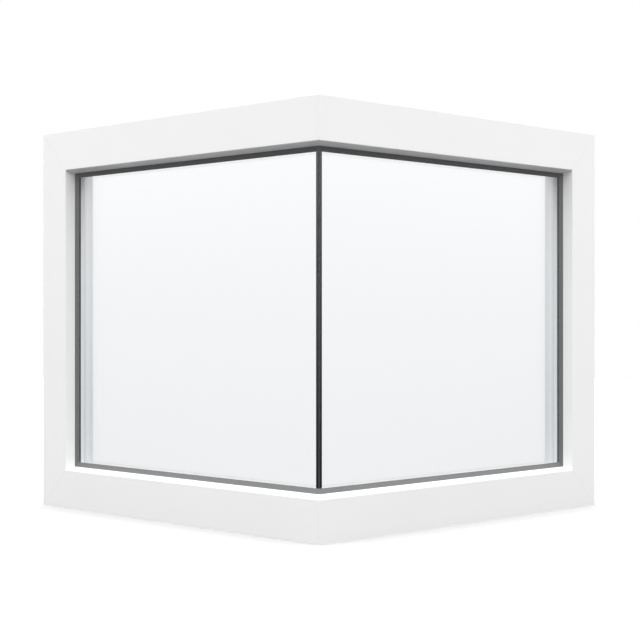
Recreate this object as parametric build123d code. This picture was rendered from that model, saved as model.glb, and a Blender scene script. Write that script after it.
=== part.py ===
from build123d import *
import os
from math import sqrt

# A white plastic fixed window for an outside building corner. Two framed wings meet at a right
# angle, and their sealed glass units meet glass to glass, with no post at the corner.
#
# The origin is the outside corner of the frame on the underside of the sill. The right wing runs
# along +X with its weather face at y = 0, the left wing runs along +Y with its weather face at
# x = 0, and the room is on the +X +Y side. Lengths are in millimetres.
#
# Sections are drawn with depth along X, from the weather face towards the room, and rise along Y,
# from the wall side towards the glass.

# Overall sizes
HEIGHT = 900.0
WING_LENGTH = 950.0
FRAME_DEPTH = 88.0

# Frame bar
FACE_WIDTH = 91.0
SPLAY_DEPTH = 22.6
SPLAY_RISE = 7.0
LIP_HEIGHT = 12.4
WALL = 2.8
WEB = 1.8
ARRIS_RADIUS = 2.0
EDGE_RADIUS = 0.8
REINFORCEMENT_WIDTH = 22.0
INSULATION_WIDTH = 10.0
SHELF_RISE = 44.0
SMALLEST_CHAMBER = 30.0

# Dovetailed clip grooves along the wall side of the frame
CLIP_WIDTH = 8.0
CLIP_MOUTH = 6.0
CLIP_DEPTH = 3.5
CLIP_INSET = 9.0

# Sealed glass unit
PANE = 6.0
CAVITY = 16.0
EDGE_GAP = 6.0
SECONDARY_SEAL = 7.5
SPACER_HEIGHT = 7.0
SPACER_CHAMFER = 2.0
SPACER_WALL = 0.8
FRONT_SEAL = 4.4
BACK_SEAL = 0.5

# Glass corner
JOINT_WIDTH = 3.0
CORNER_SEAL = 2.5

# Gaskets
OUTER_GASKET = 4.6
OUTER_NOSE = 10.9
INNER_GASKET = 4.0
GASKET_SKIRT = 9.4
GASKET_FOOT_LENGTH = 4.0
GASKET_FOOT_WIDTH = 3.0

# Glazing bead
BEAD_WALL = 1.6
BEAD_SEAT_DROP = 10.6
BEAD_RISE = 17.0
BEAD_TOE = 2.0
BEAD_FOOT_WIDTH = 3.4
BEAD_FOOT_LENGTH = 3.0
BEAD_CLEARANCE = 0.4

# Setting blocks under the glass
BLOCK_LENGTH = 80.0
BLOCK_MARGIN = 110.0

# Fixing holes through the jambs and heads
FIXING_DIAMETER = 7.5
FIXING_MARGIN = 200.0
FIXING_SPACING = 500.0

# Drain slots in the sills
DRAIN_LENGTH = 28.0
DRAIN_WIDTH = 5.0
DRAIN_MARGIN = 230.0
DRAIN_SPACING = 420.0
DRAIN_STAGGER = 60.0

# Places worked out from the sizes above
LIP_RISE = FACE_WIDTH + SPLAY_RISE
REBATE_RISE = LIP_RISE - LIP_HEIGHT
GLASS_FRONT = SPLAY_DEPTH + OUTER_GASKET
CAVITY_FRONT = GLASS_FRONT + PANE
CAVITY_BACK = CAVITY_FRONT + CAVITY
GLASS_BACK = CAVITY_BACK + PANE
GLASS_EDGE = REBATE_RISE + EDGE_GAP
SIGHT_LINE = GLASS_EDGE + SECONDARY_SEAL + SPACER_HEIGHT
BEAD_FRONT = GLASS_BACK + INNER_GASKET
BEAD_SEAT = REBATE_RISE - BEAD_SEAT_DROP
BEAD_ARRIS = BEAD_SEAT + BEAD_RISE
BEAD_FOOT_FRONT = BEAD_FRONT + BEAD_TOE
BEAD_FOOT_BACK = BEAD_FOOT_FRONT + BEAD_FOOT_WIDTH
BEAD_FOOT_END = BEAD_SEAT - BEAD_FOOT_LENGTH
GROOVE_FRONT = BEAD_FOOT_FRONT - BEAD_CLEARANCE
GROOVE_BACK = BEAD_FOOT_BACK + BEAD_CLEARANCE
GROOVE_END = BEAD_FOOT_END - BEAD_CLEARANCE
GASKET_FOOT_RISE = REBATE_RISE + LIP_HEIGHT / 2
FIXING_DEPTH = (SPLAY_DEPTH + BEAD_FRONT) / 2
REINFORCEMENT_FRONT = FIXING_DEPTH - REINFORCEMENT_WIDTH / 2
REINFORCEMENT_BACK = FIXING_DEPTH + REINFORCEMENT_WIDTH / 2
CORNER_GAP = JOINT_WIDTH / 2
SEALED_GAP = CORNER_GAP + CORNER_SEAL


def corner_plane(gap):
    """The plane at a gap from the mitre between the wings, facing along the right wing."""
    return Plane(origin=(gap / sqrt(2), -gap / sqrt(2), 0), z_dir=(1, -1, 0))


def left_of(shape):
    """The left wing's copy of a right wing piece."""
    return mirror(shape, about=corner_plane(0))


def keep_beyond(shape, plane):
    """The part of a shape on the side that the plane faces."""
    return split(shape, bisect_by=plane, keep=Keep.TOP)


def keep_before(shape, plane):
    """The part of a shape behind the plane."""
    return split(shape, bisect_by=plane, keep=Keep.BOTTOM)


def block(low, high):
    """A box between two opposite corners."""
    size = [top - bottom for bottom, top in zip(low, high)]
    return Pos(*low) * Box(*size, align=(Align.MIN, Align.MIN, Align.MIN))


def outline(*points):
    """A closed flat outline through its points."""
    return make_face(Polyline(*points, close=True))


def strip(depths, rises):
    """A rectangle of a section between two depths and two rises."""
    low, high = zip(depths, rises)
    size = [top - bottom for bottom, top in zip(low, high)]
    return Pos(*low) * Rectangle(*size, align=(Align.MIN, Align.MIN))


def round_corner(section, depth, rise, radius):
    """Round the corner of a section that lies nearest a point."""
    nearest = section.vertices().sort_by_distance((depth, rise, 0))[0]
    return fillet(nearest, radius)


def without_chambers(section, chambers):
    """A section hollowed by those of its chambers that are large enough to mould."""
    for chamber in chambers.faces():
        if chamber.area > SMALLEST_CHAMBER:
            section -= chamber
    return section


def bar(section, side, corner_gap=0.0):
    """Run a section along one side of the right wing, mitred at its jamb and at the corner."""
    low = (WING_LENGTH, 0, 0)
    high = (WING_LENGTH, 0, HEIGHT)
    if side == "jamb":
        run = extrude(Plane(low, x_dir=(0, 1, 0), z_dir=(0, 0, 1)) * section, HEIGHT)
        run = keep_beyond(run, Plane(low, z_dir=(1, 0, 1)))
        return keep_beyond(run, Plane(high, z_dir=(1, 0, -1)))
    if side == "sill":
        run = extrude(Plane((0, 0, 0), x_dir=(0, 1, 0), z_dir=(1, 0, 0)) * section, WING_LENGTH)
        run = keep_beyond(run, Plane(low, z_dir=(-1, 0, -1)))
    else:
        run = extrude(Plane(high, x_dir=(0, 1, 0), z_dir=(-1, 0, 0)) * section, WING_LENGTH)
        run = keep_beyond(run, Plane(high, z_dir=(-1, 0, 1)))
    return keep_beyond(run, corner_plane(corner_gap))


def clip_groove(near):
    """A dovetailed groove in the wall side of the frame, from its inner corner nearest the weather."""
    lap = (CLIP_WIDTH - CLIP_MOUTH) / 2
    far = near + CLIP_WIDTH
    return outline((near, CLIP_DEPTH), (near + lap, 0), (far - lap, 0), (far, CLIP_DEPTH))


def gasket_groove():
    """The groove in the back of the lip that holds the outer gasket's foot."""
    half = GASKET_FOOT_WIDTH / 2
    depths = (SPLAY_DEPTH - GASKET_FOOT_LENGTH, SPLAY_DEPTH)
    return strip(depths, (GASKET_FOOT_RISE - half, GASKET_FOOT_RISE + half))


def frame_body():
    """The frame bar up to the bottom of its bead groove: splayed lip, rebate and wall-side grooves."""
    section = outline(
        (0, 0),
        (0, FACE_WIDTH),
        (SPLAY_DEPTH, LIP_RISE),
        (SPLAY_DEPTH, REBATE_RISE),
        (GROOVE_FRONT, REBATE_RISE),
        (GROOVE_FRONT, GROOVE_END),
        (FRAME_DEPTH, GROOVE_END),
        (FRAME_DEPTH, 0),
    )
    section = round_corner(section, 0, FACE_WIDTH, ARRIS_RADIUS)
    section = round_corner(section, FRAME_DEPTH, 0, EDGE_RADIUS)
    for near in (CLIP_INSET, FRAME_DEPTH - CLIP_INSET - CLIP_WIDTH):
        section -= clip_groove(near)
    return section - gasket_groove()


def bead_leg():
    """The frame bar's leg on the room side of the bead groove, which the bead sits on."""
    leg = strip((GROOVE_BACK, FRAME_DEPTH), (GROOVE_END, BEAD_SEAT))
    return round_corner(leg, FRAME_DEPTH, BEAD_SEAT, EDGE_RADIUS)


def frame_section():
    """The frame bar's section: an outer wall, upright webs, one shelf and the chambers between."""
    body = frame_body()
    chambers = offset(body, -WALL, kind=Kind.INTERSECTION)
    for depth in (
        REINFORCEMENT_FRONT - WEB - INSULATION_WIDTH - WEB,
        REINFORCEMENT_FRONT - WEB,
        REINFORCEMENT_BACK,
        REINFORCEMENT_BACK + WEB + INSULATION_WIDTH,
    ):
        chambers -= strip((depth, depth + WEB), (0, LIP_RISE))
    chambers -= strip((0, FRAME_DEPTH), (SHELF_RISE, SHELF_RISE + WEB))
    return without_chambers(body + bead_leg(), chambers)


def fixing_drill(side, place):
    """The drill for one fixing hole, square to the wall, at a place along a jamb or a head."""
    if side == "jamb":
        axis = Plane((WING_LENGTH, FIXING_DEPTH, place), z_dir=(-1, 0, 0))
    else:
        axis = Plane((place, FIXING_DEPTH, HEIGHT), z_dir=(0, 0, -1))
    return extrude(axis * Circle(FIXING_DIAMETER / 2), REBATE_RISE + WALL)


def drain_cutters():
    """Slots in the rebate floor, and staggered ones out through the underside of the sill."""
    slot = SlotOverall(DRAIN_LENGTH, DRAIN_WIDTH)
    inlet_depth = (SPLAY_DEPTH + REINFORCEMENT_FRONT - WEB) / 2
    outlet_depth = CLIP_INSET + CLIP_WIDTH + DRAIN_WIDTH
    cutters = []
    for place in (DRAIN_MARGIN, DRAIN_MARGIN + DRAIN_SPACING):
        inlet = Plane((place, inlet_depth, REBATE_RISE - WALL - WEB)) * slot
        outlet = Plane((place + DRAIN_STAGGER, outlet_depth, 0)) * slot
        cutters.append(extrude(inlet, WALL + WEB))
        cutters.append(extrude(outlet, WALL + WEB))
    return cutters


def frame_bar(side):
    """One bar of the frame, drilled for its fixings or slotted for its drains."""
    piece = bar(frame_section(), side)
    if side == "sill":
        for cutter in drain_cutters():
            piece -= cutter
        return piece
    far = FIXING_MARGIN if side == "jamb" else WING_LENGTH - FIXING_MARGIN - FIXING_SPACING
    for place in (far, far + FIXING_SPACING):
        piece -= fixing_drill(side, place)
    return piece


def bead_section():
    """The glazing bead: a splayed hollow bead on the frame's inner leg, with its foot in the groove."""
    toe = REBATE_RISE + BEAD_CLEARANCE
    body = outline(
        (FRAME_DEPTH, BEAD_SEAT),
        (FRAME_DEPTH, BEAD_ARRIS),
        (BEAD_FRONT, LIP_RISE),
        (BEAD_FRONT, toe),
        (BEAD_FOOT_FRONT, toe),
        (BEAD_FOOT_FRONT, BEAD_SEAT),
    )
    body = round_corner(body, FRAME_DEPTH, BEAD_ARRIS, ARRIS_RADIUS)
    body = round_corner(body, FRAME_DEPTH, BEAD_SEAT, EDGE_RADIUS)
    foot = strip((BEAD_FOOT_FRONT, BEAD_FOOT_BACK), (BEAD_FOOT_END, BEAD_SEAT))
    chambers = offset(body, -BEAD_WALL, kind=Kind.INTERSECTION)
    return without_chambers(body + foot, chambers)


def outer_gasket_section():
    """The outer gasket: a steep nose between lip and glass, with its foot in the lip's groove."""
    nose = outline(
        (SPLAY_DEPTH, LIP_RISE),
        (GLASS_FRONT, LIP_RISE + OUTER_NOSE),
        (GLASS_FRONT, LIP_RISE - GASKET_SKIRT),
        (SPLAY_DEPTH, LIP_RISE - GASKET_SKIRT),
    )
    return nose + gasket_groove()


def inner_gasket_section():
    """The inner gasket, extruded on to the bead, with a splayed nose."""
    return outline(
        (BEAD_FRONT, LIP_RISE),
        (GLASS_BACK, LIP_RISE + INNER_GASKET),
        (GLASS_BACK, LIP_RISE - GASKET_SKIRT),
        (BEAD_FRONT, LIP_RISE - GASKET_SKIRT),
    )


def spacer_outline():
    """The outside of the spacer bar, with its two hidden edges cut back for the seal."""
    back = SIGHT_LINE - SPACER_HEIGHT
    depths = (CAVITY_FRONT + FRONT_SEAL, CAVITY_BACK - BACK_SEAL)
    section = strip(depths, (back, SIGHT_LINE))
    hidden = [section.vertices().sort_by_distance((depth, back, 0))[0] for depth in depths]
    return chamfer(hidden, SPACER_CHAMFER)


def spacer_section():
    """The thin-walled spacer tube between the panes."""
    tube = spacer_outline()
    return tube - offset(tube, -SPACER_WALL, kind=Kind.INTERSECTION)


def edge_seal_section():
    """The black edge seal that fills the unit's edge and laps both sides of the spacer."""
    return strip((CAVITY_FRONT, CAVITY_BACK), (GLASS_EDGE, SIGHT_LINE)) - spacer_outline()


def edge_loop(section):
    """A section run round the sill, jamb and head of the right glass unit, in one piece."""
    sill, jamb, head = [bar(section, side, SEALED_GAP) for side in ("sill", "jamb", "head")]
    return sill + jamb + head


def pane(front):
    """One pane of the right glass unit, mitred at the glass corner."""
    low = (0, front, GLASS_EDGE)
    high = (WING_LENGTH - GLASS_EDGE, front + PANE, HEIGHT - GLASS_EDGE)
    return keep_beyond(block(low, high), corner_plane(CORNER_GAP))


def corner_seal():
    """The seal along the mitred edge of the right glass unit, between its panes."""
    low = (0, CAVITY_FRONT, GLASS_EDGE)
    high = (WING_LENGTH, CAVITY_BACK, HEIGHT - GLASS_EDGE)
    sealed = keep_beyond(block(low, high), corner_plane(CORNER_GAP))
    return keep_before(sealed, corner_plane(SEALED_GAP))


def corner_joint():
    """The silicone joint between the two glass units, flush with the glass on both sides."""
    near = sqrt(2) * GLASS_FRONT + CORNER_GAP
    far = sqrt(2) * GLASS_BACK + CORNER_GAP
    low = (near, -CORNER_GAP, GLASS_EDGE)
    high = (far, CORNER_GAP, HEIGHT - GLASS_EDGE)
    return Rot(0, 0, 45) * block(low, high)


def setting_blocks():
    """The two blocks that carry the right glass unit on its sill."""
    near = GLASS_FRONT + BLOCK_MARGIN
    far = WING_LENGTH - GLASS_EDGE - BLOCK_MARGIN - BLOCK_LENGTH
    return [
        block((place, GLASS_FRONT, REBATE_RISE), (place + BLOCK_LENGTH, GLASS_BACK, GLASS_EDGE))
        for place in (near, far)
    ]


def right_wing():
    """Every piece of the right wing, by its plain name."""
    pieces = {}
    for side in ("sill", "head", "jamb"):
        pieces[f"{side}_frame"] = frame_bar(side)
        pieces[f"{side}_bead"] = bar(bead_section(), side)
        pieces[f"{side}_outer_gasket"] = bar(outer_gasket_section(), side)
        pieces[f"{side}_inner_gasket"] = bar(inner_gasket_section(), side) - corner_joint()
    pieces["outer_pane"] = pane(GLASS_FRONT)
    pieces["inner_pane"] = pane(CAVITY_BACK)
    pieces["spacer"] = edge_loop(spacer_section())
    pieces["edge_seal"] = edge_loop(edge_seal_section())
    pieces["corner_seal"] = corner_seal()
    pieces["setting_blocks"] = Compound(children=setting_blocks())
    return pieces


os.makedirs("parts", exist_ok=True)
for name, piece in right_wing().items():
    export_step(piece, f"parts/right_{name}.step")
    export_step(left_of(piece), f"parts/left_{name}.step")
export_step(corner_joint(), "parts/corner_joint.step")
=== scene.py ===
"""Studio view of a white plastic corner window whose two glass units meet edge to edge.

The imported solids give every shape. This script gives them their finishes, sets them on a pale
floor under soft light and looks at the outside corner at half height. Lengths are in metres
unless a name says millimetres.
"""

import logging
import math
from dataclasses import dataclass
from enum import Enum
from typing import Any

import bpy
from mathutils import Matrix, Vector


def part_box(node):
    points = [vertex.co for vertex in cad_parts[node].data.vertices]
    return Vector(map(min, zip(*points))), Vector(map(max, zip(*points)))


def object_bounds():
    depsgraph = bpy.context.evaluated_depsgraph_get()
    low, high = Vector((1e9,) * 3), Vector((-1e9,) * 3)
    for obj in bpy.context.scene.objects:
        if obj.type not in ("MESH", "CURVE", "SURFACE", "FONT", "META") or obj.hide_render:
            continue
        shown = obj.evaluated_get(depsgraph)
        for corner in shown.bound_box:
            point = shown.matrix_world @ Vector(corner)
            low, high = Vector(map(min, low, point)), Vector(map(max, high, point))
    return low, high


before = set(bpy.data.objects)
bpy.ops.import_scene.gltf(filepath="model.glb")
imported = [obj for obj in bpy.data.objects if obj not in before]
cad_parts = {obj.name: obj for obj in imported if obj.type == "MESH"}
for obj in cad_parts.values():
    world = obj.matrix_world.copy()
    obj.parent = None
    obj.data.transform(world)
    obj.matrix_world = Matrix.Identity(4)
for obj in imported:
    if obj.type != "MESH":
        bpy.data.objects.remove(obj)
CAD_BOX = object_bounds()
MM = 0.001

log = logging.getLogger("corner_window")


class Wing(Enum):
    """The two wings, each with the axis that it runs along."""

    LEFT = "left"
    RIGHT = "right"

    @property
    def along(self) -> Vector:
        """The direction from the glass corner to the wing's jamb."""
        return Vector((1, 0, 0)) if self is Wing.RIGHT else Vector((0, 1, 0))

    @property
    def inward(self) -> Vector:
        """The direction from the weather face to the room."""
        return Vector((0, 1, 0)) if self is Wing.RIGHT else Vector((1, 0, 0))


class Side(Enum):
    """The three sides that a wing's bars, beads and gaskets run along."""

    SILL = "sill"
    HEAD = "head"
    JAMB = "jamb"


class Extrusion(Enum):
    """The two white extrusions, each with its colour and the colour that it drifts to."""

    FRAME = ("#F3F3F3", "#F0F0F0")
    # The bead's white and its drift are a little darker than the frame's: painted shade for the dimmer
    # room side, seen through the glass.
    BEAD = ("#EDEDED", "#EAEAEA")


def linear(code: str) -> tuple[float, float, float, float]:
    """Turn an sRGB hex colour into the linear colour that shaders take.

    Args:
        code: Colour as # and six hex digits.

    Returns:
        Linear red, green, blue and an alpha of one.
    """
    shares = [int(code[place : place + 2], 16) / 255 for place in (1, 3, 5)]
    curved = [s / 12.92 if s <= 0.04045 else ((s + 0.055) / 1.055) ** 2.4 for s in shares]
    return (*curved, 1.0)


def add_node(
    tree: bpy.types.NodeTree, kind: str, inputs: dict[str, Any] | None = None, **settings: Any
) -> bpy.types.Node:
    """Add one node, set its options and fill its sockets.

    Args:
        tree: Node tree that takes the node.
        kind: Blender's name for the type of node.
        inputs: Socket identifiers or names, each with a value or with the output that feeds it.
        settings: Options of the node itself.

    Returns:
        The new node.
    """
    made = tree.nodes.new(kind)
    for option, value in settings.items():
        setattr(made, option, value)
    for key, value in (inputs or {}).items():
        socket = next(s for s in made.inputs if key in (s.identifier, s.name))
        if isinstance(value, bpy.types.NodeSocket):
            tree.links.new(value, socket)
        else:
            socket.default_value = value
    return made


def seen_through_glass(tree: bpy.types.NodeTree) -> bpy.types.NodeSocket:
    """Tell the eye's own view through glass from light on its way to a surface.

    Args:
        tree: Node tree that takes the nodes.

    Returns:
        Socket that is one where the eye looks through glass and zero elsewhere.
    """
    path = add_node(tree, "ShaderNodeLightPath")
    return add_node(
        tree,
        "ShaderNodeMath",
        {"Value": path.outputs["Is Transmission Ray"], "Value_001": path.outputs["Diffuse Depth"]},
        operation="SUBTRACT",
        use_clamp=True,
    ).outputs[0]


@dataclass(frozen=True)
class Mitre:
    """A cut between two bars, as a plane through the window."""

    normal: Vector
    offset: float

    def distance(self, tree: bpy.types.NodeTree, place: bpy.types.NodeSocket) -> bpy.types.NodeSocket:
        """Measure how far a point of the surface lies from the cut.

        Args:
            tree: Node tree that takes the measuring nodes.
            place: Socket with the point's place.

        Returns:
            Socket with the distance in metres.
        """
        reach = add_node(
            tree,
            "ShaderNodeVectorMath",
            {"Vector": place, "Vector_001": self.normal},
            operation="DOT_PRODUCT",
        )
        signed = add_node(
            tree,
            "ShaderNodeMath",
            {"Value": reach.outputs["Value"], "Value_001": self.offset},
            operation="SUBTRACT",
        )
        return add_node(
            tree, "ShaderNodeMath", {"Value": signed.outputs[0]}, operation="ABSOLUTE"
        ).outputs[0]


@dataclass(frozen=True)
class Finish:
    """What every finish has: a name, a colour, a gloss and an index of refraction."""

    name: str
    colour: str
    roughness: float
    ior: float

    def material(self) -> bpy.types.Material:
        """Make the finish as a node material.

        Returns:
            The material, ready for a slot.
        """
        made = bpy.data.materials.new(self.name)
        made.use_nodes = True
        shader = made.node_tree.nodes["Principled BSDF"]
        shader.inputs["Base Color"].default_value = linear(self.colour)
        shader.inputs["Roughness"].default_value = self.roughness
        shader.inputs["IOR"].default_value = self.ior
        self.work(made.node_tree, shader)
        return made

    def work(self, tree: bpy.types.NodeTree, shader: bpy.types.Node) -> None:
        """Add to the shader what the making left on the surface.

        Args:
            tree: The material's node tree.
            shader: Its main shader.
        """


@dataclass(frozen=True)
class ExtrudedUpvc(Finish):
    """Rigid white PVC, drawn through a die, calibrated and welded at its mitres.

    The eye sees an even satin white, with faint lines along the bar where the die dragged, a
    slow drift of tone, and a hairline of painted shade along each mitre for the weld's groove.
    Real die lines are finer. These are drawn as coarse as they need to be to show.
    """

    along: Vector
    mitres: tuple[Mitre, ...]
    drift_colour: str
    # Grey of the mitre hairline: painted shade for the groove of the weld.
    seam_shade_colour: str = "#D5D5D5"
    line_mm: float = 1.2
    line_length_mm: float = 600.0
    drift_mm: float = 160.0
    seam_mm: float = 0.35
    relief_mm: float = 0.006
    gloss_swing: float = 0.05

    def work(self, tree: bpy.types.NodeTree, shader: bpy.types.Node) -> None:
        """Draw the die lines, the drift of tone and the painted shade of the welded seams.

        Args:
            tree: The material's node tree.
            shader: Its main shader.
        """
        place = add_node(tree, "ShaderNodeTexCoord").outputs["Object"]
        stretch = [1 / (self.line_length_mm if share else self.line_mm) / MM for share in self.along]
        drawn = add_node(tree, "ShaderNodeMapping", {"Vector": place, "Scale": stretch})
        lines = add_node(
            tree, "ShaderNodeTexNoise", {"Vector": drawn.outputs[0], "Scale": 1.0, "Detail": 2.0}
        ).outputs["Fac"]
        drift = add_node(
            tree, "ShaderNodeTexNoise", {"Vector": place, "Scale": 1 / (self.drift_mm * MM)}
        ).outputs["Fac"]
        seam_shade = self.seam_shade(tree, place)
        toned = add_node(
            tree,
            "ShaderNodeMix",
            {
                "Factor_Float": drift,
                "A_Color": linear(self.colour),
                "B_Color": linear(self.drift_colour),
            },
            data_type="RGBA",
        )
        # Painted shade: the weld groove at each mitre is a grey hairline in the colour, not cut into
        # the mesh.
        seam_shaded = add_node(
            tree,
            "ShaderNodeMix",
            {
                "Factor_Float": seam_shade,
                "A_Color": toned.outputs["Result"],
                "B_Color": linear(self.seam_shade_colour),
            },
            data_type="RGBA",
        )
        gloss = add_node(
            tree,
            "ShaderNodeMapRange",
            {
                "Value": lines,
                "To Min": self.roughness - self.gloss_swing,
                "To Max": self.roughness + self.gloss_swing,
            },
        )
        bump = add_node(
            tree,
            "ShaderNodeBump",
            {"Height": lines, "Distance": self.relief_mm * MM, "Strength": 1.0},
        )
        tree.links.new(seam_shaded.outputs["Result"], shader.inputs["Base Color"])
        tree.links.new(gloss.outputs["Result"], shader.inputs["Roughness"])
        tree.links.new(bump.outputs["Normal"], shader.inputs["Normal"])

    def seam_shade(self, tree: bpy.types.NodeTree, place: bpy.types.NodeSocket) -> bpy.types.NodeSocket:
        """Mark the hairline of painted shade along the bar's mitres.

        Args:
            tree: The material's node tree.
            place: Socket with the point's place.

        Returns:
            Socket that is one on a seam and zero away from it.
        """
        near, far = (mitre.distance(tree, place) for mitre in self.mitres)
        nearest = add_node(
            tree, "ShaderNodeMath", {"Value": near, "Value_001": far}, operation="MINIMUM"
        )
        return add_node(
            tree,
            "ShaderNodeMapRange",
            {"Value": nearest.outputs[0], "From Max": self.seam_mm * MM, "To Min": 1.0, "To Max": 0.0},
            interpolation_type="SMOOTHSTEP",
        ).outputs["Result"]


@dataclass(frozen=True)
class MouldedRubber(Finish):
    """Rubber, silicone or soft plastic with a filler, extruded, pumped or moulded.

    The eye sees one even tone with a fine tooth from the filler and a slow change of tone. Real
    filler is finer. This is drawn as coarse as it needs to be to show.
    """

    drift_colour: str
    tooth_mm: float = 0.5
    drift_mm: float = 60.0
    relief_mm: float = 0.012
    gloss_swing: float = 0.08

    def work(self, tree: bpy.types.NodeTree, shader: bpy.types.Node) -> None:
        """Draw the tooth of the filler and the drift of tone.

        Args:
            tree: The material's node tree.
            shader: Its main shader.
        """
        place = add_node(tree, "ShaderNodeTexCoord").outputs["Object"]
        tooth = add_node(
            tree, "ShaderNodeTexNoise", {"Vector": place, "Scale": 1 / (self.tooth_mm * MM)}
        ).outputs["Fac"]
        drift = add_node(
            tree, "ShaderNodeTexNoise", {"Vector": place, "Scale": 1 / (self.drift_mm * MM)}
        ).outputs["Fac"]
        toned = add_node(
            tree,
            "ShaderNodeMix",
            {
                "Factor_Float": drift,
                "A_Color": linear(self.colour),
                "B_Color": linear(self.drift_colour),
            },
            data_type="RGBA",
        )
        gloss = add_node(
            tree,
            "ShaderNodeMapRange",
            {
                "Value": tooth,
                "To Min": self.roughness - self.gloss_swing,
                "To Max": self.roughness + self.gloss_swing,
            },
        )
        bump = add_node(
            tree, "ShaderNodeBump", {"Height": tooth, "Distance": self.relief_mm * MM, "Strength": 1.0}
        )
        tree.links.new(toned.outputs["Result"], shader.inputs["Base Color"])
        tree.links.new(gloss.outputs["Result"], shader.inputs["Roughness"])
        tree.links.new(bump.outputs["Normal"], shader.inputs["Normal"])


@dataclass(frozen=True)
class WarmEdgeSpacer(Finish):
    """Spacer tube of pale plastic, roll pierced for the drying agent inside it.

    The eye sees a pale matt strip with two rows of pinholes, drawn as spots of painted shade.
    """

    wing: Wing
    rows: tuple[float, float]
    # Grey of the pinholes: painted shade inside each hole.
    hole_shade_colour: str = "#6E7173"
    pitch_mm: float = 4.0
    hole_mm: float = 0.9
    hole_rim: float = 0.8

    def work(self, tree: bpy.types.NodeTree, shader: bpy.types.Node) -> None:
        """Paint the two rows of pinholes along the tube as spots of painted shade.

        Args:
            tree: The material's node tree.
            shader: Its main shader.
        """
        place = add_node(tree, "ShaderNodeTexCoord").outputs["Object"]
        run = add_node(
            tree,
            "ShaderNodeVectorMath",
            {"Vector": place, "Vector_001": self.wing.along + Vector((0, 0, 1))},
            operation="DOT_PRODUCT",
        ).outputs["Value"]
        depth = add_node(
            tree,
            "ShaderNodeVectorMath",
            {"Vector": place, "Vector_001": self.wing.inward},
            operation="DOT_PRODUCT",
        ).outputs["Value"]
        half_pitch = self.pitch_mm * MM / 2
        step = add_node(
            tree, "ShaderNodeMath", {"Value": run, "Value_001": half_pitch}, operation="PINGPONG"
        ).outputs[0]
        middle = sum(self.rows) / 2
        mirrored = add_node(
            tree, "ShaderNodeMath", {"Value": depth, "Value_001": middle}, operation="SUBTRACT"
        ).outputs[0]
        folded = add_node(
            tree, "ShaderNodeMath", {"Value": mirrored}, operation="ABSOLUTE"
        ).outputs[0]
        aside = add_node(
            tree,
            "ShaderNodeMath",
            {"Value": folded, "Value_001": self.rows[1] - middle},
            operation="SUBTRACT",
        ).outputs[0]
        spot = add_node(tree, "ShaderNodeCombineXYZ", {"X": step, "Y": aside}).outputs[0]
        reach = add_node(
            tree, "ShaderNodeVectorMath", {"Vector": spot}, operation="LENGTH"
        ).outputs["Value"]
        radius = self.hole_mm * MM / 2
        hole = add_node(
            tree,
            "ShaderNodeMapRange",
            {
                "Value": reach,
                "From Min": radius * self.hole_rim,
                "From Max": radius,
                "To Min": 1.0,
                "To Max": 0.0,
            },
        ).outputs["Result"]
        # Painted shade: each pinhole is a grey spot in the colour, not a hole in the mesh.
        pierced = add_node(
            tree,
            "ShaderNodeMix",
            {
                "Factor_Float": hole,
                "A_Color": linear(self.colour),
                "B_Color": linear(self.hole_shade_colour),
            },
            data_type="RGBA",
        )
        tree.links.new(pierced.outputs["Result"], shader.inputs["Base Color"])


@dataclass(frozen=True)
class FloatGlass(Finish):
    """Clear float glass, drawn flat on molten tin.

    The eye sees through it with a breath of blue green, and sees the light around it mirrored
    more strongly the more it is slanted. Light falls through it onto what is behind.
    """

    def work(self, tree: bpy.types.NodeTree, shader: bpy.types.Node) -> None:
        """Make the shader clear, and open it to light on its way to what is behind.

        Args:
            tree: The material's node tree.
            shader: Its main shader.
        """
        shader.inputs["Transmission Weight"].default_value = 1.0
        path = add_node(tree, "ShaderNodeLightPath")
        open_way = add_node(tree, "ShaderNodeBsdfTransparent", {"Color": linear(self.colour)})
        mixed = add_node(
            tree,
            "ShaderNodeMixShader",
            {
                "Fac": path.outputs["Is Shadow Ray"],
                "Shader": shader.outputs[0],
                "Shader_001": open_way.outputs[0],
            },
        )
        tree.links.new(mixed.outputs[0], tree.nodes["Material Output"].inputs["Surface"])


@dataclass
class Dresser:
    """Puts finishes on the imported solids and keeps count."""

    dressed: int = 0

    def dress(self, node: str, material: bpy.types.Material) -> None:
        """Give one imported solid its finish.

        Args:
            node: Name of the solid.
            material: Finish for all of its faces.
        """
        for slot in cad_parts[node].material_slots:
            slot.material = material
        self.dressed += 1
        log.info("dressed %s in %s", node, material.name)


@dataclass
class PlasticFrame:
    """The frame bars and glazing beads of one wing."""

    wing: Wing
    length: float
    height: float
    roughness: float = 0.36
    ior: float = 1.53

    def mitres(self, side: Side) -> tuple[Mitre, Mitre]:
        """Find the two cuts that end a bar.

        Args:
            side: The side that the bar runs along.

        Returns:
            The planes of its two mitres.
        """
        slant = math.sqrt(0.5)
        up = Vector((0, 0, 1))
        corner = Mitre((Vector((1, 0, 0)) - Vector((0, 1, 0))) * slant, 0.0)
        sill = Mitre((self.wing.along + up) * slant, self.length * slant)
        head = Mitre((self.wing.along - up) * slant, (self.length - self.height) * slant)
        ends = {Side.SILL: (corner, sill), Side.HEAD: (corner, head), Side.JAMB: (sill, head)}
        return ends[side]

    def dress(self, dresser: Dresser) -> None:
        """Finish the three bars and their beads.

        Args:
            dresser: Puts the finishes on.
        """
        for side in Side:
            along = Vector((0, 0, 1)) if side is Side.JAMB else self.wing.along
            for extrusion in Extrusion:
                colour, drift_colour = extrusion.value
                node = f"{self.wing.value}_{side.value}_{extrusion.name.lower()}"
                finish = ExtrudedUpvc(
                    name=f"satin_upvc_extruded_{node}",
                    colour=colour,
                    roughness=self.roughness,
                    ior=self.ior,
                    along=along,
                    mitres=self.mitres(side),
                    drift_colour=drift_colour,
                )
                dresser.dress(node, finish.material())


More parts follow.
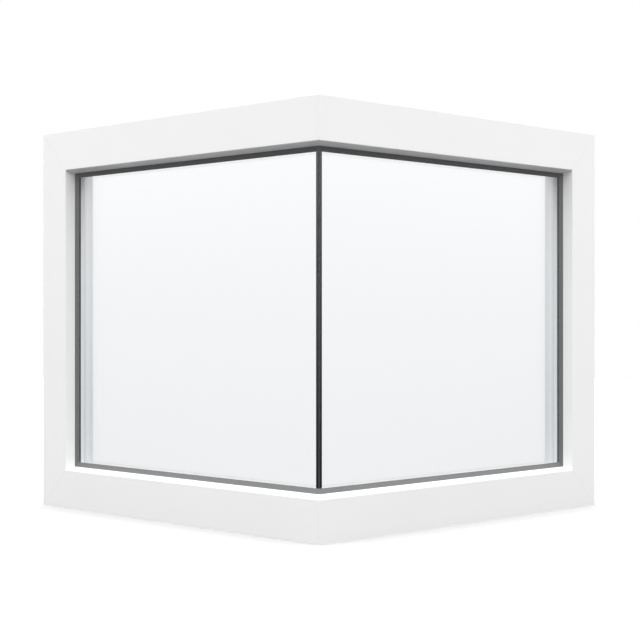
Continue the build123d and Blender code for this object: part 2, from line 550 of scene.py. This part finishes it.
@dataclass
class Gaskets:
    """The outer and inner gaskets of both wings."""

    outer: MouldedRubber = MouldedRubber(
        name="grey_epdm_extruded", colour="#6A6B6B", roughness=0.6, ior=1.5, drift_colour="#666767"
    )
    inner: MouldedRubber = MouldedRubber(
        name="pale_tpe_coextruded", colour="#EEF0EF", roughness=0.55, ior=1.5, drift_colour="#E9EBEA"
    )

    def dress(self, dresser: Dresser) -> None:
        """Finish the grey outer gaskets and the pale inner ones.

        Args:
            dresser: Puts the finishes on.
        """
        outer = self.outer.material()
        inner = self.inner.material()
        for wing in Wing:
            for side in Side:
                dresser.dress(f"{wing.value}_{side.value}_outer_gasket", outer)
                dresser.dress(f"{wing.value}_{side.value}_inner_gasket", inner)


@dataclass
class GlassUnit:
    """One wing's sealed glass unit: two panes, the spacer and its seals, on setting blocks."""

    wing: Wing
    row_inset: float = 0.003

    def spacer_rows(self) -> tuple[float, float]:
        """Place the two rows of pinholes on the spacer's width.

        Returns:
            How far each row lies from the weather face.
        """
        low, high = (corner.dot(self.wing.inward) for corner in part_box(f"{self.wing.value}_spacer"))
        return low + self.row_inset, high - self.row_inset

    def dress(self, dresser: Dresser) -> None:
        """Finish every piece of the unit.

        Args:
            dresser: Puts the finishes on.
        """
        wing = self.wing.value
        glass = FloatGlass(
            name=f"clear_float_glass_{wing}", colour="#F9FAFB", roughness=0.0, ior=1.52
        ).material()
        spacer = WarmEdgeSpacer(
            name=f"pale_spacer_pierced_{wing}",
            colour="#E3E4E4",
            roughness=0.5,
            ior=1.5,
            wing=self.wing,
            rows=self.spacer_rows(),
        ).material()
        seal = MouldedRubber(
            name=f"black_butyl_pumped_{wing}",
            colour="#191A1C",
            roughness=0.5,
            ior=1.5,
            drift_colour="#151618",
        ).material()
        block = MouldedRubber(
            name=f"blue_block_moulded_{wing}",
            colour="#4C5A6B",
            roughness=0.45,
            ior=1.5,
            drift_colour="#485566",
        ).material()
        for pane in ("outer_pane", "inner_pane"):
            dresser.dress(f"{wing}_{pane}", glass)
        dresser.dress(f"{wing}_spacer", spacer)
        dresser.dress(f"{wing}_edge_seal", seal)
        dresser.dress(f"{wing}_setting_blocks", block)


@dataclass
class GlassCorner:
    """The silicone joint that the two glass units share, and the seals along their mitred edges."""

    silicone: MouldedRubber = MouldedRubber(
        name="black_silicone_tooled", colour="#393B3E", roughness=0.2, ior=1.45, drift_colour="#35373A"
    )

    def dress(self, dresser: Dresser) -> None:
        """Finish the joint and the two seals beside it.

        Args:
            dresser: Puts the finish on.
        """
        silicone = self.silicone.material()
        dresser.dress("corner_joint", silicone)
        for wing in Wing:
            dresser.dress(f"{wing.value}_corner_seal", silicone)


@dataclass
class Studio:
    """A pale floor under a soft dome of light that is brightest overhead.

    The sky fields say how bright the dome is where it lights surfaces, from nothing at the
    horizon, and the mirror fields how bright it is where glass and gloss mirror it.
    """

    floor_radius: float = 9.0
    floor_sides: int = 96
    floor_seen: str = "#BABABA"
    floor_bounce: str = "#626262"
    backdrop: str = "#FFFFFF"
    sky_zenith: float = 3.89
    mirror_low: float = 0.2
    mirror_high: float = 1.9
    mirror_curve: float = 1.4
    mirror_reach: float = 0.11

    def build(self) -> None:
        """Set up the floor and the dome of light."""
        self.floor()
        self.world()

    def floor(self) -> None:
        """Lay the floor, white to the eye and darker where it throws light back."""
        bpy.ops.object.select_all(action="DESELECT")
        bpy.ops.mesh.primitive_circle_add(
            vertices=self.floor_sides, radius=self.floor_radius, fill_type="NGON"
        )
        floor = bpy.context.object
        floor.name = "studio_floor"
        floor.visible_glossy = False
        made = bpy.data.materials.new("studio_floor_paint")
        made.use_nodes = True
        tree = made.node_tree
        tree.nodes.remove(tree.nodes["Principled BSDF"])
        path = add_node(tree, "ShaderNodeLightPath")
        bounce = add_node(tree, "ShaderNodeBsdfDiffuse", {"Color": linear(self.floor_bounce)})
        seen = add_node(tree, "ShaderNodeBsdfDiffuse", {"Color": linear(self.floor_seen)})
        beyond = add_node(
            tree, "ShaderNodeEmission", {"Color": linear(self.backdrop), "Strength": 1.0}
        )
        paint = add_node(
            tree,
            "ShaderNodeMixShader",
            {
                "Fac": path.outputs["Is Camera Ray"],
                "Shader": bounce.outputs[0],
                "Shader_001": seen.outputs[0],
            },
        )
        behind = add_node(
            tree,
            "ShaderNodeMixShader",
            {
                "Fac": seen_through_glass(tree),
                "Shader": paint.outputs[0],
                "Shader_001": beyond.outputs[0],
            },
        )
        tree.links.new(behind.outputs[0], tree.nodes["Material Output"].inputs["Surface"])
        floor.data.materials.append(made)

    def world(self) -> None:
        """Light the window from a soft sky, and show plain white behind it."""
        world = bpy.data.worlds.new("studio_sky")
        bpy.context.scene.world = world
        world.use_nodes = True
        tree = world.node_tree
        shown = tree.nodes["Background"]
        path = add_node(tree, "ShaderNodeLightPath")
        way = add_node(tree, "ShaderNodeTexCoord").outputs["Generated"]
        height = add_node(tree, "ShaderNodeSeparateXYZ", {"Vector": way}).outputs["Z"]
        mirrored = add_node(
            tree,
            "ShaderNodeMapRange",
            {
                "Value": height,
                "From Min": -self.mirror_reach,
                "From Max": self.mirror_reach,
            },
        ).outputs["Result"]
        curved = add_node(
            tree,
            "ShaderNodeMath",
            {"Value": mirrored, "Value_001": self.mirror_curve},
            operation="POWER",
        ).outputs[0]
        bright = add_node(
            tree,
            "ShaderNodeMath",
            {
                "Value": curved,
                "Value_001": self.mirror_high - self.mirror_low,
                "Value_002": self.mirror_low,
            },
            operation="MULTIPLY_ADD",
        ).outputs[0]
        rising = add_node(
            tree, "ShaderNodeMapRange", {"Value": height, "To Max": self.sky_zenith}
        ).outputs["Result"]
        sky = add_node(tree, "ShaderNodeBackground", {"Strength": rising})
        glass_sky = add_node(tree, "ShaderNodeBackground", {"Strength": bright})
        shown.inputs["Strength"].default_value = 1.0
        for background in (shown, sky, glass_sky):
            background.inputs["Color"].default_value = linear(self.backdrop)
        reflected = add_node(
            tree,
            "ShaderNodeMixShader",
            {
                "Fac": path.outputs["Is Glossy Ray"],
                "Shader": sky.outputs[0],
                "Shader_001": glass_sky.outputs[0],
            },
        )
        through = add_node(
            tree,
            "ShaderNodeMixShader",
            {
                "Fac": seen_through_glass(tree),
                "Shader": reflected.outputs[0],
                "Shader_001": shown.outputs[0],
            },
        )
        direct = add_node(
            tree,
            "ShaderNodeMixShader",
            {
                "Fac": path.outputs["Is Camera Ray"],
                "Shader": through.outputs[0],
                "Shader_001": shown.outputs[0],
            },
        )
        tree.links.new(direct.outputs[0], tree.nodes["World Output"].inputs["Surface"])


@dataclass
class Viewpoint:
    """The camera, level at half the window's height and square to its outside corner.

    Its shift sets the corner a 640th of the picture's width off the middle, one pixel in a picture 640
    pixels wide.
    """

    stand_off: float = 2.148
    lens_mm: float = 85.6
    sensor_mm: float = 36.0
    corner_shift: float = 1 / 640

    def build(self) -> None:
        """Place the camera and make it the scene's own."""
        low, high = CAD_BOX
        spot = Vector((-self.stand_off, -self.stand_off, (low.z + high.z) / 2))
        bpy.ops.object.select_all(action="DESELECT")
        bpy.ops.object.camera_add(location=spot)
        camera = bpy.context.object
        camera.name = "outside_corner_camera"
        camera.rotation_euler = Vector((1, 1, 0)).to_track_quat("-Z", "Y").to_euler()
        camera.data.sensor_width = self.sensor_mm
        camera.data.lens = self.lens_mm
        camera.data.shift_x = self.corner_shift
        bpy.context.scene.camera = camera


def main() -> None:
    """Dress the window, light it and look at it."""
    logging.basicConfig(level=logging.INFO, format="%(name)s: %(message)s")
    bpy.context.scene.view_settings.view_transform = "Standard"
    low, high = CAD_BOX
    dresser = Dresser()
    for wing in Wing:
        PlasticFrame(wing, length=high.dot(wing.along), height=high.z - low.z).dress(dresser)
        GlassUnit(wing).dress(dresser)
    Gaskets().dress(dresser)
    GlassCorner().dress(dresser)
    Studio().build()
    Viewpoint().build()
    log.info("dressed %d of %d solids", dresser.dressed, len(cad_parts))


if __name__ == "__main__":
    main()
